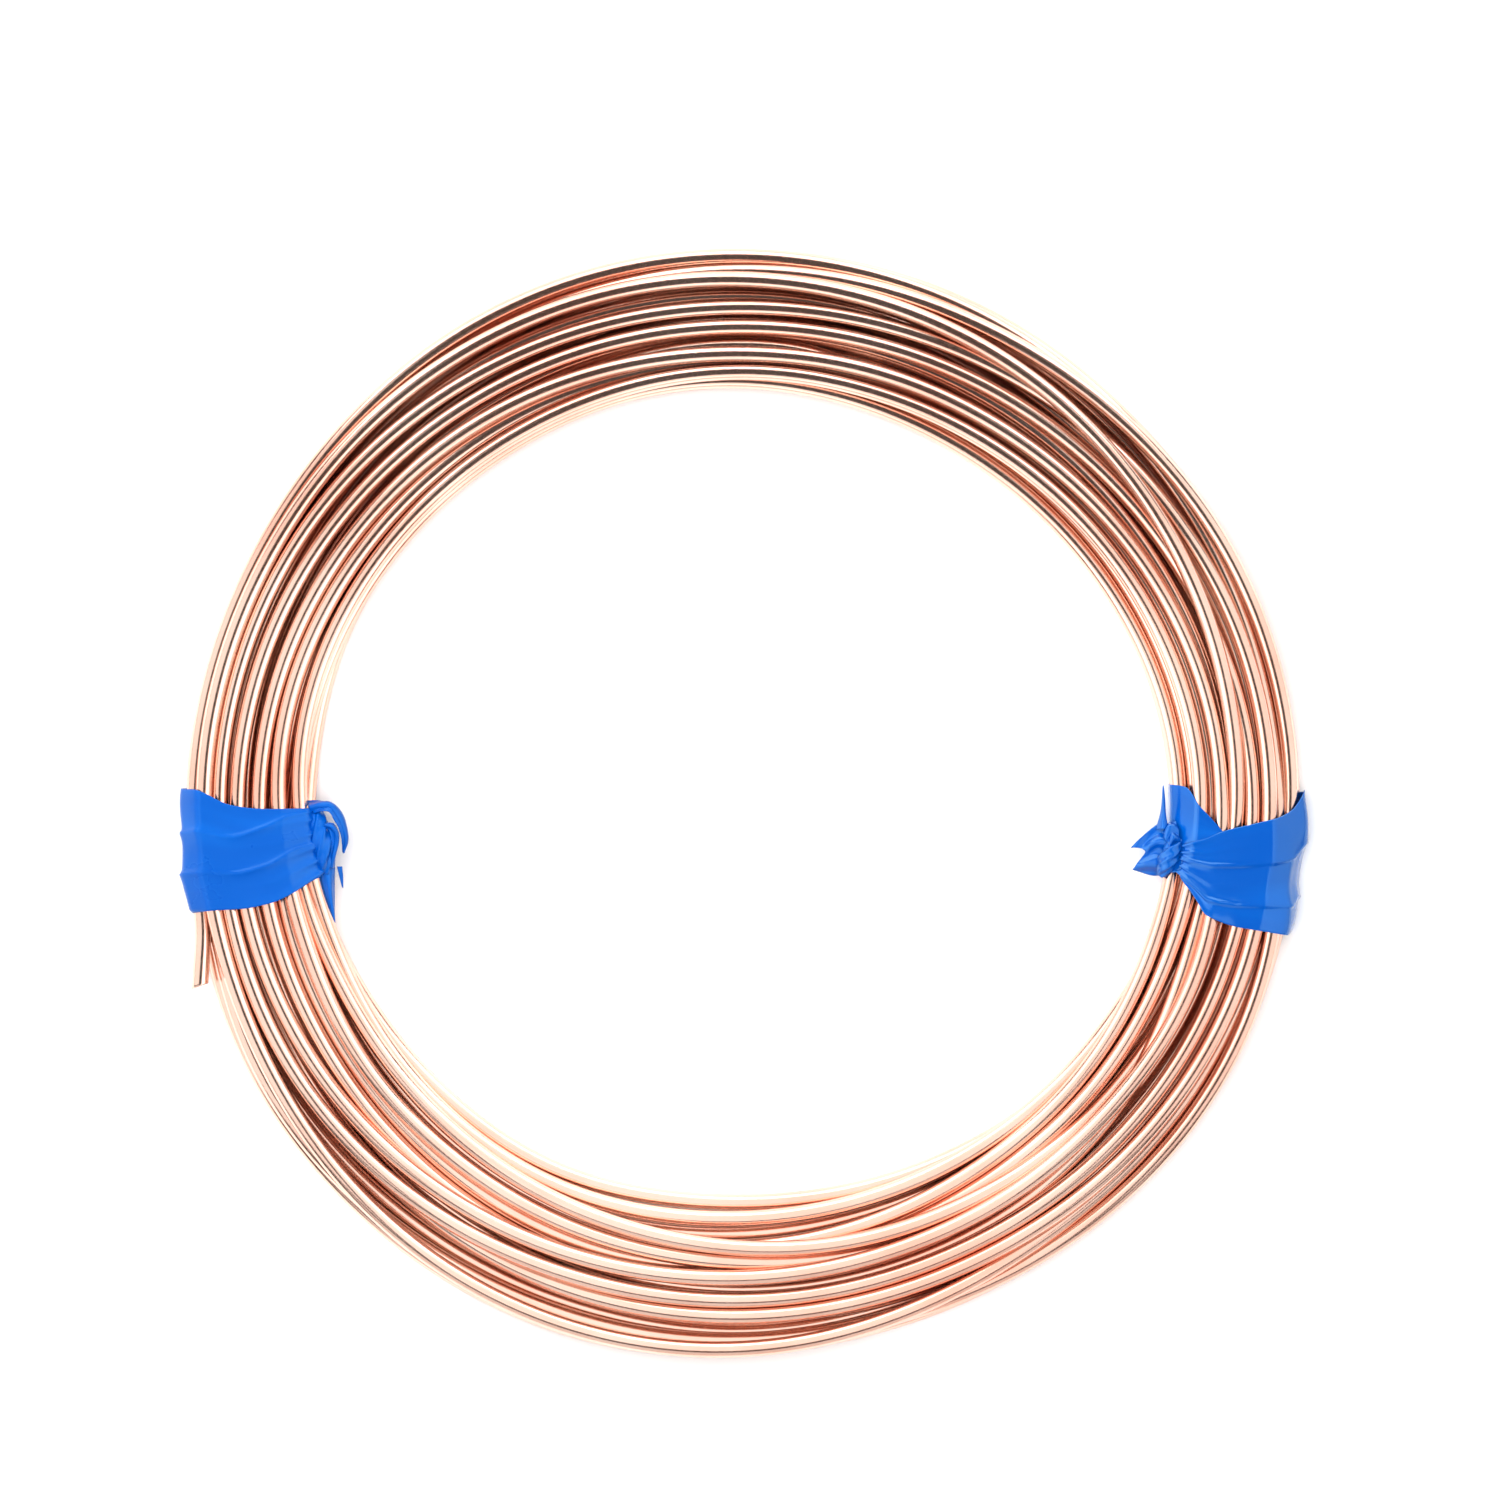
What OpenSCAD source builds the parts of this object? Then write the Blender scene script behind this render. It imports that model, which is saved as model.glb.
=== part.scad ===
// Coil of bare round copper wire, laid flat and tied at two places with knotted
// strips of blue vinyl film. The origin is at the middle of the coil, on the
// surface that it lies on, and +Z is up. All sizes are in millimetres.

/* [Wire] */
// Diameter of the solid round wire (12 AWG)
wire_d = 2.05; // [1.9:0.05:2.2]
// Turns that lie side by side in the bottom layer
bottom_turns = 8; // [7:1:9]
// Height of each layer over the last; the turns cross, so it is more than a diameter
layer_rise = 2.5; // [2.3:0.05:2.6]

/* [Coil] */
// Diameter of the former that the wire was wound on
former_d = 105.6; // [100:0.2:110]
// Length of the outer end of the wire past the left tie
outer_end_l = 9.6; // [7:0.2:12]
// Angle by which that end leans away from the coil
outer_end_lean = 9; // [7:0.5:11]

/* [Ties] */
// Thickness of the film as it is wrapped, two layers with air between them
film_t = 0.4; // [0.3:0.05:0.5]
// Where the left tie sits round the coil, in degrees from +X
left_angle = 185; // [183:0.5:187]
// Where the right tie sits round the coil, in degrees from +X
right_angle = -6.3; // [-8:0.1:-4]

/* [Hidden] */

copper = [0.85, 0.52, 0.38];
blue = [0.02, 0.33, 0.86];

wire_r = wire_d / 2;
inner_r = former_d / 2;
outer_r = inner_r + bottom_turns * wire_d;
middle_turns = bottom_turns - 1;
top_turns = bottom_turns - 3;
gap = 0.02;                             // clearance between film, wire and knots
valley = 0.6;                           // how far the hollows between turns are closed
side_margin = 3;                        // how far the cutting shapes pass the coil
prism_h = 20;                           // height of the prisms that trim the film
round_fn = 96;
lump_fn = 20;                           // fineness of a knot's rounded lumps

// Layers as [number of turns, radius of the first turn, height of the turns]. Each
// layer lies over the hollows of the one under it, and the top one stops short of
// the innermost turns.
layers = [
  [bottom_turns, inner_r + wire_r, wire_r],
  [middle_turns, inner_r + wire_d, wire_r + layer_rise],
  [top_turns, inner_r + 2.5 * wire_d, wire_r + 2 * layer_rise]
];
function turn_at(layer, i) = [layers[layer][1] + i * wire_d, layers[layer][2]];
function last_turn(layer) = turn_at(layer, layers[layer][0] - 1);

// The turns at the corners of the coil's section, anticlockwise
corner_turns = [
  turn_at(0, 0), last_turn(0), last_turn(2), turn_at(2, 0), turn_at(1, 0)
];

// What each tie covers, seen from above: [distance out from the coil's inner wall,
// distance round the coil], where the strip is wide outside and gathered inside
side = outer_r - inner_r + side_margin;
left_plan = [
  [side, -8], [12, -5.2], [-side_margin, -4], [-side_margin, 4.4], [8, 7.4], [side, 7.6]
];
right_plan = [
  [side, 10], [14.4, 6.8], [-side_margin, 0.6], [-side_margin, -2.6], [4, -6], [10, -8.8],
  [side, -8]
];
rear_fold_plan = [[5.6, 3.4], [1, 8], [-side_margin, 7], [-side_margin, 0.6]];

function unit(v) = v / norm(v);
function outward(a, b) = unit([b.y - a.y, a.x - b.x]);

// A convex shape moved out by r, with its corners left blunt
module blunt(corners, r) {
  n = len(corners);
  polygon([
    for (i = [0 : n - 1])
      let (a = corners[i], b = corners[(i + 1) % n], out = r * outward(a, b))
      each [a + out, b + out]
  ]);
}

// The same with its corners rounded: true arcs, and sides tangent to them
module rounded(corners, r) {
  for (c = corners) translate(c) circle(r, $fn = round_fn);
  blunt(corners, r);
}

// Section of the coil: every turn, standing out of the closed middle between them,
// and the flat that the bottom layer makes with the surface
module coil_section() {
  for (layer = [0 : len(layers) - 1])
    for (i = [0 : layers[layer][0] - 1])
      translate(turn_at(layer, i)) circle(wire_r, $fn = round_fn);
  blunt(corner_turns, valley * wire_r);
  translate([layers[0][1], 0])
    square([(bottom_turns - 1) * wire_d, wire_r]);
}

// Turns a section round the coil's axis
module around() {
  rotate_extrude($fn = round_fn) children();
}

// The space that the coil fills, with its surface moved in by a distance
module envelope(inset) {
  around() rounded(corner_turns, wire_r - inset);
}

// Upright prism over the stretch of the coil that a plan describes
module over(angle, plan) {
  rotate(angle)
    translate([inner_r, 0, -prism_h / 4])
      linear_extrude(prism_h)
        polygon(plan);
}

// What the film presses out of the coil, so that it lies flush
module groove(angle, plan) {
  difference() {
    over(angle, plan);
    envelope(film_t);
  }
}

// The film where it runs round the bundle of turns
module film(angle, plan) {
  color(blue)
    intersection() {
      over(angle, plan);
      difference() {
        envelope(0);
        envelope(film_t - gap);
      }
    }
}

// A lump of gathered film, seated on the band: a hull over balls, each
// [out from the inner wall, round the coil, up, radius]
module lump(angle, balls) {
  difference() {
    rotate(angle)
      translate([inner_r, 0, 0])
        hull()
          for (b = balls)
            translate([b[0], b[1], b[2]]) sphere(b[3], $fn = lump_fn);
    around() blunt(corner_turns, wire_r);
  }
}

// A loose end of film: an outline in the same terms as a plan, at a height
module tail(angle, height, outline) {
  rotate(angle)
    translate([inner_r, 0, height])
      linear_extrude(film_t)
        polygon(outline);
}

// Where the outer end of the wire lies: from the lower edge of the left tie
module along_outer_end() {
  rotate(left_angle)
    translate([outer_r - wire_r, left_plan[5].y + gap, wire_r + layer_rise])
      rotate([-90, 0, -outer_end_lean])
        children();
}

module left_lump() {
  lump(left_angle, [
    [2.2, -3.0, 5.4, 1.3], [-1.8, -2.0, 5.0, 1.6],
    [-2.2, 1.6, 4.8, 1.6], [1.8, 3.2, 4.8, 1.4]
  ]);
}

module right_lump() {
  lump(right_angle, [
    [2.4, 0.2, 5.6, 1.2], [-0.2, -0.6, 4.8, 1.3], [0.4, -3.0, 4.4, 1.2]
  ]);
}

module wire_coil() {
  color(copper)
    difference() {
      around() coil_section();
      groove(left_angle, left_plan);
      groove(right_angle, right_plan);
      groove(right_angle, rear_fold_plan);
      along_outer_end()
        translate([0, 0, -wire_d])
          cylinder(h = outer_end_l + 2 * wire_d, r = wire_r + gap, $fn = round_fn);
    }
}

// The free end, snipped off at a slant
module wire_outer_end() {
  snip = 25;
  color(copper)
    along_outer_end()
      difference() {
        cylinder(h = outer_end_l, r = wire_r, $fn = round_fn);
        translate([0, 0, outer_end_l])
          rotate([0, snip, 0])
            translate([-wire_d, -wire_d, 0])
              cube([2 * wire_d, 2 * wire_d, wire_d]);
      }
}

module left_tie_band() {
  film(left_angle, left_plan);
}

module left_tie_knot() {
  color(blue) left_lump();
}

module left_tie_long_tail() {
  color(blue)
    difference() {
      tail(left_angle, 3.8, [[0.2, 2.4], [0, 4.6], [-1.2, 10.6], [-2.2, 4.6], [-2.6, 2.4]]);
      left_lump();
    }
}

module left_tie_short_tail() {
  color(blue)
    difference() {
      tail(left_angle, 4.8, [[-2, 2.4], [-2.2, 4.2], [-2.8, 6.4], [-3.2, 2.4]]);
      left_lump();
    }
}

module right_tie_band() {
  film(right_angle, right_plan);
}

module right_tie_rear_fold() {
  film(right_angle, rear_fold_plan);
}

module right_tie_knot() {
  color(blue) right_lump();
}

module right_tie_fan_tail() {
  color(blue)
    difference() {
      tail(right_angle, 4.8, [
        [0.4, 0.6], [-1, 8], [-1.8, 2.6], [-4, -0.4], [-2, -1], [-3.6, -2.8], [0.4, -3.6]
      ]);
      right_lump();
    }
}

wire_coil();
wire_outer_end();
left_tie_band();
left_tie_knot();
left_tie_long_tail();
left_tie_short_tail();
right_tie_band();
right_tie_rear_fold();
right_tie_knot();
right_tie_fan_tail();
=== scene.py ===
"""A coil of bare copper wire, held in two places by knotted strips of blue vinyl film.

Lengths inside the classes are millimetres and angles are degrees, as a winder would
give them; meshes are made in metres. A clock angle is measured from +X towards +Y, and
the wire is wound clockwise from the left tie.
"""

import logging
import math
from dataclasses import dataclass, field
from enum import Enum
from typing import Sequence

import bpy
import numpy as np
from mathutils import Matrix


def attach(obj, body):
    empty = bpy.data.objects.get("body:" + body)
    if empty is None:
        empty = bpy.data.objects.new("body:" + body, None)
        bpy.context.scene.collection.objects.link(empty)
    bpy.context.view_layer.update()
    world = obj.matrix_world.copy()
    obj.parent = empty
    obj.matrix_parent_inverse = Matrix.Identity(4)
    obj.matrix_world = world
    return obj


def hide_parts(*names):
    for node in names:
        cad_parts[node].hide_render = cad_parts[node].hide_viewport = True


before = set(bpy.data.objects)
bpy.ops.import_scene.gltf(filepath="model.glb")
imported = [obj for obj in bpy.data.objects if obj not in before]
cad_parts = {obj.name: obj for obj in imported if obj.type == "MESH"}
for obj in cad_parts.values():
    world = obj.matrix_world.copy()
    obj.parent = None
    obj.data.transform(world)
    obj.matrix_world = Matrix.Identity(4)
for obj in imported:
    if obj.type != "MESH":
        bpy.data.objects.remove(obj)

MM = 0.001
LOG = logging.getLogger("coil")
# Millimetres of surface that one surface coordinate spans
SURFACE_PITCH = 10.0

Knot = tuple[float, float, float]
Point = tuple[float, float, float]


# --------------------------------------------------------------------------- geometry


def ease_through(x: np.ndarray, y: np.ndarray, at: np.ndarray) -> np.ndarray:
    """Draws a smooth line through points without overshooting between them.

    Args:
        x: Where the points are, rising.
        y: Their values.
        at: Where the line is wanted.

    Returns:
        The line's values; outside the points it keeps the end values.
    """
    step = np.diff(x)
    slope = np.diff(y) / step
    before, after = slope[:-1], slope[1:]
    w1 = 2 * step[1:] + step[:-1]
    w2 = step[1:] + 2 * step[:-1]
    turns = before * after <= 0
    safe_before = np.where(turns, 1.0, before)
    safe_after = np.where(turns, 1.0, after)
    inner = np.where(turns, 0.0, (w1 + w2) / (w1 / safe_before + w2 / safe_after))
    tangent = np.concatenate([slope[:1], inner, slope[-1:]])
    at = np.clip(at, x[0], x[-1])
    i = np.clip(np.searchsorted(x, at, side="right") - 1, 0, len(x) - 2)
    t = (at - x[i]) / step[i]
    a = (1 + 2 * t) * (1 - t) ** 2
    b = t * (1 - t) ** 2
    c = t * t * (3 - 2 * t)
    d = t * t * (t - 1)
    return a * y[i] + b * step[i] * tangent[i] + c * y[i + 1] + d * step[i] * tangent[i + 1]


def even_rows(net: np.ndarray, rows: int) -> np.ndarray:
    """Resamples a net of points along its first axis with a smooth curve.

    Args:
        net: Points, shaped (stations, across, 3).
        rows: How many rows are wanted.

    Returns:
        The net with that many rows, evenly spread over the stations.
    """
    n = len(net)
    padded = np.concatenate([2 * net[:1] - net[1:2], net, 2 * net[-1:] - net[-2:-1]])
    at = np.linspace(0, n - 1, rows)
    i = np.minimum(at.astype(int), n - 2)
    t = (at - i)[:, None, None]
    p0, p1, p2, p3 = padded[i], padded[i + 1], padded[i + 2], padded[i + 3]
    return 0.5 * (
        2 * p1
        + (p2 - p0) * t
        + (2 * p0 - 5 * p1 + 4 * p2 - p3) * t**2
        + (3 * p1 - p0 - 3 * p2 + p3) * t**3
    )


def even_net(net: Sequence[Sequence[Point]], rows: int, columns: int) -> np.ndarray:
    """Makes a fine net from a coarse one, smooth both ways.

    Args:
        net: The coarse net: rows of points, all of one length.
        rows: Rows wanted.
        columns: Columns wanted.

    Returns:
        Points, shaped (rows, columns, 3).
    """
    fine = even_rows(np.array(net, float), rows)
    return even_rows(fine.transpose(1, 0, 2), columns).transpose(1, 0, 2)


def net_normals(net: np.ndarray) -> np.ndarray:
    """Finds the unit normal of a net at each of its points.

    Args:
        net: Points, shaped (rows, columns, 3).

    Returns:
        Normals of the same shape.
    """
    along = np.gradient(net, axis=0)
    across = np.gradient(net, axis=1)
    normal = np.cross(along, across)
    size = np.linalg.norm(normal, axis=-1, keepdims=True)
    return normal / np.maximum(size, 1e-12)


def quads(number: np.ndarray) -> np.ndarray:
    """Lists the quads between neighbouring rows and columns of a net.

    Args:
        number: The net's vertex numbers, shaped (rows, columns).

    Returns:
        Quads as vertex numbers, shaped (n, 4).
    """
    return np.stack(
        [number[:-1, :-1], number[1:, :-1], number[1:, 1:], number[:-1, 1:]], -1
    ).reshape(-1, 4)


@dataclass
class MeshParts:
    """Vertices, faces and surface coordinates that are collected for one mesh."""

    points: list = field(default_factory=list)
    faces: list = field(default_factory=list)
    coordinates: list = field(default_factory=list)

    def add(self, points: np.ndarray, faces: np.ndarray, coordinates: np.ndarray) -> None:
        """Adds one closed shell.

        Args:
            points: Vertices in millimetres, shaped (n, 3).
            faces: Quads as vertex numbers, shaped (m, 4).
            coordinates: Surface coordinates per corner, shaped (m, 4, 2).
        """
        start = sum(len(p) for p in self.points)
        self.points.append(points)
        self.faces.append(faces + start)
        self.coordinates.append(coordinates)

    def make(self, name: str) -> bpy.types.Object:
        """Makes the object, smooth shaded and in the frame's metres.

        Args:
            name: The piece's name.

        Returns:
            The new object.
        """
        points = np.concatenate(self.points) * MM
        faces = np.concatenate(self.faces)
        coordinates = np.concatenate(self.coordinates)
        mesh = bpy.data.meshes.new(name)
        mesh.vertices.add(len(points))
        mesh.vertices.foreach_set("co", points.ravel())
        mesh.loops.add(faces.size)
        mesh.loops.foreach_set("vertex_index", faces.ravel().astype(np.int32))
        mesh.polygons.add(len(faces))
        starts = np.arange(0, faces.size, faces.shape[1], dtype=np.int32)
        mesh.polygons.foreach_set("loop_start", starts)
        mesh.update(calc_edges=True)
        layer = mesh.uv_layers.new(name="along_and_across")
        layer.data.foreach_set("uv", coordinates.reshape(-1))
        mesh.polygons.foreach_set("use_smooth", np.ones(len(faces), bool))
        mesh.validate()
        piece = bpy.data.objects.new(name, mesh)
        bpy.context.scene.collection.objects.link(piece)
        return piece


def film_shell(parts: MeshParts, net: np.ndarray, thickness: float) -> None:
    """Turns a net into a closed film of even thickness.

    Args:
        parts: The mesh that it is added to.
        net: The film's middle, shaped (rows, columns, 3), in millimetres.
        thickness: The film's thickness.
    """
    rows, columns = net.shape[:2]
    normal = net_normals(net)
    top = net + normal * thickness / 2
    bottom = net - normal * thickness / 2
    points = np.concatenate([top.reshape(-1, 3), bottom.reshape(-1, 3)])
    number = np.arange(rows * columns).reshape(rows, columns)
    under = number + rows * columns
    top_faces = quads(number)
    bottom_faces = quads(under)[:, [0, 3, 2, 1]]
    rim = np.concatenate(
        [number[0, :-1], number[:-1, -1], number[-1, :0:-1], number[:0:-1, 0]]
    )
    after = np.roll(rim, -1)
    low = rim + rows * columns
    rim_faces = np.stack([rim, after, np.roll(low, -1), low], -1)
    along = np.linalg.norm(np.diff(net, axis=0), axis=-1).mean(1).cumsum()
    across = np.linalg.norm(np.diff(net, axis=1), axis=-1).mean(0).cumsum()
    u, v = np.meshgrid(np.append(0, along), np.append(0, across), indexing="ij")
    place = np.stack([u, v], -1).reshape(-1, 2) / SURFACE_PITCH
    place = np.concatenate([place, place])
    faces = np.concatenate([top_faces, bottom_faces, rim_faces])
    parts.add(points, faces, place[faces])


# --------------------------------------------------------------------------- materials


class Inputs(Enum):
    """Socket names of the Principled shader that the finishes set."""

    COLOUR = "Base Color"
    METAL = "Metallic"
    ROUGH = "Roughness"
    NORMAL = "Normal"
    COAT = "Coat Weight"
    COAT_ROUGH = "Coat Roughness"
    TINT = "Specular Tint"
    IOR = "IOR"
    SPECULAR = "Specular IOR Level"
    SUBSURFACE = "Subsurface Weight"
    RADIUS = "Subsurface Radius"
    DEPTH = "Subsurface Scale"


@dataclass
class NodeBoard:
    """A node tree with short calls for placing and joining its nodes."""

    tree: bpy.types.NodeTree

    def place(self, kind: str, **settings: object) -> bpy.types.Node:
        """Adds a node and sets its properties.

        Args:
            kind: The node's type.
            **settings: Its properties.

        Returns:
            The node.
        """
        node = self.tree.nodes.new(kind)
        for name, value in settings.items():
            setattr(node, name, value)
        return node

    def join(self, source: bpy.types.NodeSocket, target: bpy.types.NodeSocket) -> None:
        """Links two sockets."""
        self.tree.links.new(source, target)

    def mix(
        self, share: bpy.types.NodeSocket, low: Sequence[float], high: Sequence[float]
    ) -> bpy.types.NodeSocket:
        """Blends two colours by a mask.

        Args:
            share: The mask.
            low: The colour where the mask is 0.
            high: The colour where it is 1.

        Returns:
            The blended colour.
        """
        factor, first, second, blended = 0, 6, 7, 2
        node = self.place("ShaderNodeMix", data_type="RGBA")
        node.inputs[first].default_value = (*low, 1)
        node.inputs[second].default_value = (*high, 1)
        self.join(share, node.inputs[factor])
        return node.outputs[blended]

    def between(
        self, value: bpy.types.NodeSocket, low: float, high: float, to_low: float, to_high: float
    ) -> bpy.types.NodeSocket:
        """Maps a range of values onto another, clamped.

        Args:
            value: The value that varies.
            low: Where the source range starts.
            high: Where it ends.
            to_low: What low becomes.
            to_high: What high becomes.

        Returns:
            The mapped value.
        """
        node = self.place("ShaderNodeMapRange")
        self.join(value, node.inputs[0])
        for i, number in enumerate((low, high, to_low, to_high), 1):
            node.inputs[i].default_value = number
        return node.outputs[0]


def streak_group() -> bpy.types.NodeTree:
    """Makes the shared effect of fine streaks drawn out along a strand or a strip.

    Returns:
        The group, with inputs Length, Width and Cloud Size and outputs Streak and Cloud.
    """
    group = bpy.data.node_groups.new("drawn_streaks", "ShaderNodeTree")
    for name, start in (("Length", 6.0), ("Width", 60.0), ("Cloud Size", 12.0)):
        socket = group.interface.new_socket(name, in_out="INPUT", socket_type="NodeSocketFloat")
        socket.default_value = start
    for name in ("Streak", "Cloud"):
        group.interface.new_socket(name, in_out="OUTPUT", socket_type="NodeSocketFloat")
    board = NodeBoard(group)
    given = board.place("NodeGroupInput")
    result = board.place("NodeGroupOutput")
    surface = board.place("ShaderNodeUVMap", uv_map="along_and_across")
    size = board.place("ShaderNodeCombineXYZ")
    board.join(given.outputs["Length"], size.inputs[0])
    board.join(given.outputs["Width"], size.inputs[1])
    stretch = board.place("ShaderNodeVectorMath", operation="MULTIPLY")
    board.join(surface.outputs[0], stretch.inputs[0])
    board.join(size.outputs[0], stretch.inputs[1])
    fine = board.place("ShaderNodeTexNoise", noise_dimensions="2D")
    fine.inputs["Scale"].default_value = 1.0
    fine.inputs["Detail"].default_value = 3.0
    board.join(stretch.outputs[0], fine.inputs["Vector"])
    board.join(fine.outputs["Fac"], result.inputs["Streak"])
    place = board.place("ShaderNodeTexCoord")
    cloud = board.place("ShaderNodeTexNoise")
    board.join(place.outputs["Object"], cloud.inputs["Vector"])
    board.join(given.outputs["Cloud Size"], cloud.inputs["Scale"])
    cloud.inputs["Detail"].default_value = 4.0
    board.join(cloud.outputs["Fac"], result.inputs["Cloud"])
    return group


@dataclass(frozen=True)
class Finish:
    """What every finish has: a name, and a Principled shader on a node board."""

    name: str

    def start(self) -> tuple[bpy.types.Material, NodeBoard, bpy.types.Node]:
        """Makes the material with its shader.

        Returns:
            The material, its board and its Principled node.
        """
        material = bpy.data.materials.new(self.name)
        material.use_nodes = True
        board = NodeBoard(material.node_tree)
        shader = next(n for n in material.node_tree.nodes if n.type == "BSDF_PRINCIPLED")
        return material, board, shader

    @staticmethod
    def put(shader: bpy.types.Node, values: dict[Inputs, object]) -> None:
        """Sets constants on the shader's own sockets."""
        for socket, value in values.items():
            shader.inputs[socket.value].default_value = value

    @staticmethod
    def streaked(
        board: NodeBoard, streaks: bpy.types.NodeTree, sizes: tuple[float, float, float]
    ) -> bpy.types.Node:
        """Places the shared streaks.

        Args:
            board: The material's board.
            streaks: The shared streak group.
            sizes: The group's Length, Width and Cloud Size.

        Returns:
            The group's node.
        """
        lines = board.place("ShaderNodeGroup", node_tree=streaks)
        for name, size in zip(("Length", "Width", "Cloud Size"), sizes):
            lines.inputs[name].default_value = size
        return lines

    @staticmethod
    def raise_lines(
        board: NodeBoard,
        shader: bpy.types.Node,
        height: bpy.types.NodeSocket,
        strength: float,
        depth: float,
    ) -> None:
        """Turns a height into fine relief on the shader.

        Args:
            board: The material's board.
            shader: Its Principled node.
            height: The height.
            strength: How strongly it shows.
            depth: How deep it is, in metres.
        """
        bump = board.place("ShaderNodeBump")
        bump.inputs["Strength"].default_value = strength
        bump.inputs["Distance"].default_value = depth
        board.join(height, bump.inputs["Height"])
        board.join(bump.outputs[0], shader.inputs[Inputs.NORMAL.value])


@dataclass(frozen=True)
class BareCopper(Finish):
    """Bright drawn copper with die lines along it and a light, uneven tarnish."""

    clean: tuple[float, float, float] = (0.95, 0.64, 0.52)
    tarnished: tuple[float, float, float] = (0.9, 0.5, 0.38)
    smooth: float = 0.16
    dull: float = 0.24
    line_depth: float = 0.0000016
    line_strength: float = 0.5
    streak_sizes: tuple[float, float, float] = (14.0, 26.0, 45.0)

    def make(self, streaks: bpy.types.NodeTree) -> bpy.types.Material:
        """Builds the material.

        Args:
            streaks: The shared streak group.

        Returns:
            The material.
        """
        material, board, shader = self.start()
        self.put(shader, {Inputs.METAL: 1.0})
        lines = self.streaked(board, streaks, self.streak_sizes)
        tarnish = board.between(lines.outputs["Cloud"], 0.42, 0.68, 0.0, 1.0)
        board.join(board.mix(tarnish, self.clean, self.tarnished), shader.inputs[Inputs.COLOUR.value])
        rough = board.between(lines.outputs["Streak"], 0.3, 0.7, self.smooth, self.dull)
        board.join(rough, shader.inputs[Inputs.ROUGH.value])
        streak = lines.outputs["Streak"]
        self.raise_lines(board, shader, streak, self.line_strength, self.line_depth)
        return material


@dataclass(frozen=True)
class VinylFilm(Finish):
    """Glossy blue vinyl film, stretched along its length and faintly crinkled.

    Its gloss is 1 for the glossy side, and less for a side that reflects more weakly.
    """

    deep: tuple[float, float, float] = (0.0, 0.076, 0.43)
    stretched: tuple[float, float, float] = (0.0, 0.098, 0.5)
    crinkle: float = 0.00002
    crinkle_strength: float = 0.35
    gloss: float = 1.0
    streak_sizes: tuple[float, float, float] = (0.5, 2.2, 160.0)

    def make(self, streaks: bpy.types.NodeTree) -> bpy.types.Material:
        """Builds the material.

        Args:
            streaks: The shared streak group.

        Returns:
            The material.
        """
        material, board, shader = self.start()
        self.put(
            shader,
            {
                Inputs.IOR: 1.45 + 0.3 * self.gloss,
                Inputs.TINT: (0.3, 0.85, 1.0, 1.0),
                Inputs.COAT_ROUGH: 0.08,
                Inputs.SUBSURFACE: 0.08,
                Inputs.RADIUS: (0.2, 0.5, 1.0),
                Inputs.DEPTH: 0.0006,
            },
        )
        lines = self.streaked(board, streaks, self.streak_sizes)
        pale = board.between(lines.outputs["Streak"], 0.35, 0.75, 0.0, 1.0)
        board.join(board.mix(pale, self.deep, self.stretched), shader.inputs[Inputs.COLOUR.value])
        dull = 0.2 * (1 - self.gloss)
        rough = board.between(lines.outputs["Cloud"], 0.2, 0.8, 0.1 + dull, 0.2 + dull)
        board.join(rough, shader.inputs[Inputs.ROUGH.value])
        coat = board.between(lines.outputs["Cloud"], 0.2, 0.8, 0.35 * self.gloss, 0.2 * self.gloss)
        board.join(coat, shader.inputs[Inputs.COAT.value])
        streak = lines.outputs["Streak"]
        self.raise_lines(board, shader, streak, self.crinkle_strength, self.crinkle)
        return material


@dataclass(frozen=True)
class PaleBoard(Finish):
    """The matt pale board that the coil lies on."""

    def make(self) -> bpy.types.Material:
        """Builds the material, with a faint unevenness.

        Returns:
            The material.
        """
        material, board, shader = self.start()
        self.put(shader, {Inputs.ROUGH: 0.9, Inputs.SPECULAR: 0.1})
        noise = board.place("ShaderNodeTexNoise")
        noise.inputs["Scale"].default_value = 9.0
        tone = board.mix(noise.outputs["Fac"], (0.93, 0.93, 0.93), (0.96, 0.96, 0.955))
        board.join(tone, shader.inputs[Inputs.COLOUR.value])
        return material


# --------------------------------------------------------------------------- the wire


class Lane(Enum):
    """Bottom turns that only show in gaps, counted outwards from the inner wall."""

    FOURTH = 3
    FIFTH = 4
    SIXTH = 5
    SEVENTH = 6
    OUTERMOST = 7


# Turns that lie side by side on the board
BOTTOM_TURNS = 8
# Clock angles at which a lane has its knots: the first, a limit past the last, the step
LANE_KNOTS = (178, -169, -15.0)
# How the outer and inner walls of the bottom layer wander: (clock angle, radius)
OUTER_WALL = (
    (185, 69.3), (165, 68.2), (150, 67.9), (135, 68.3), (120, 68.8), (90, 68.7), (60, 68.6),
    (45, 68.3), (20, 69.1), (0, 69.4), (-15, 69.2), (-30, 69.6), (-45, 69), (-60, 68),
    (-75, 67.9), (-90, 68.5), (-105, 69.5), (-120, 69.7), (-150, 69.7), (-168, 68.8),
    (-175, 69.3),
)
INNER_WALL = (
    (185, 54.4), (165, 54), (150, 53.1), (120, 52.5), (90, 51.8), (60, 51.5), (45, 51.7),
    (30, 52.4), (10, 53.8), (0, 54.2), (-15, 53.7), (-30, 53), (-45, 52.2), (-60, 51.4),
    (-75, 51.2), (-90, 51.6), (-105, 51.8), (-120, 51.4), (-135, 51.3), (-150, 52.2),
    (-165, 53.5), (-175, 54.4),
)
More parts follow.
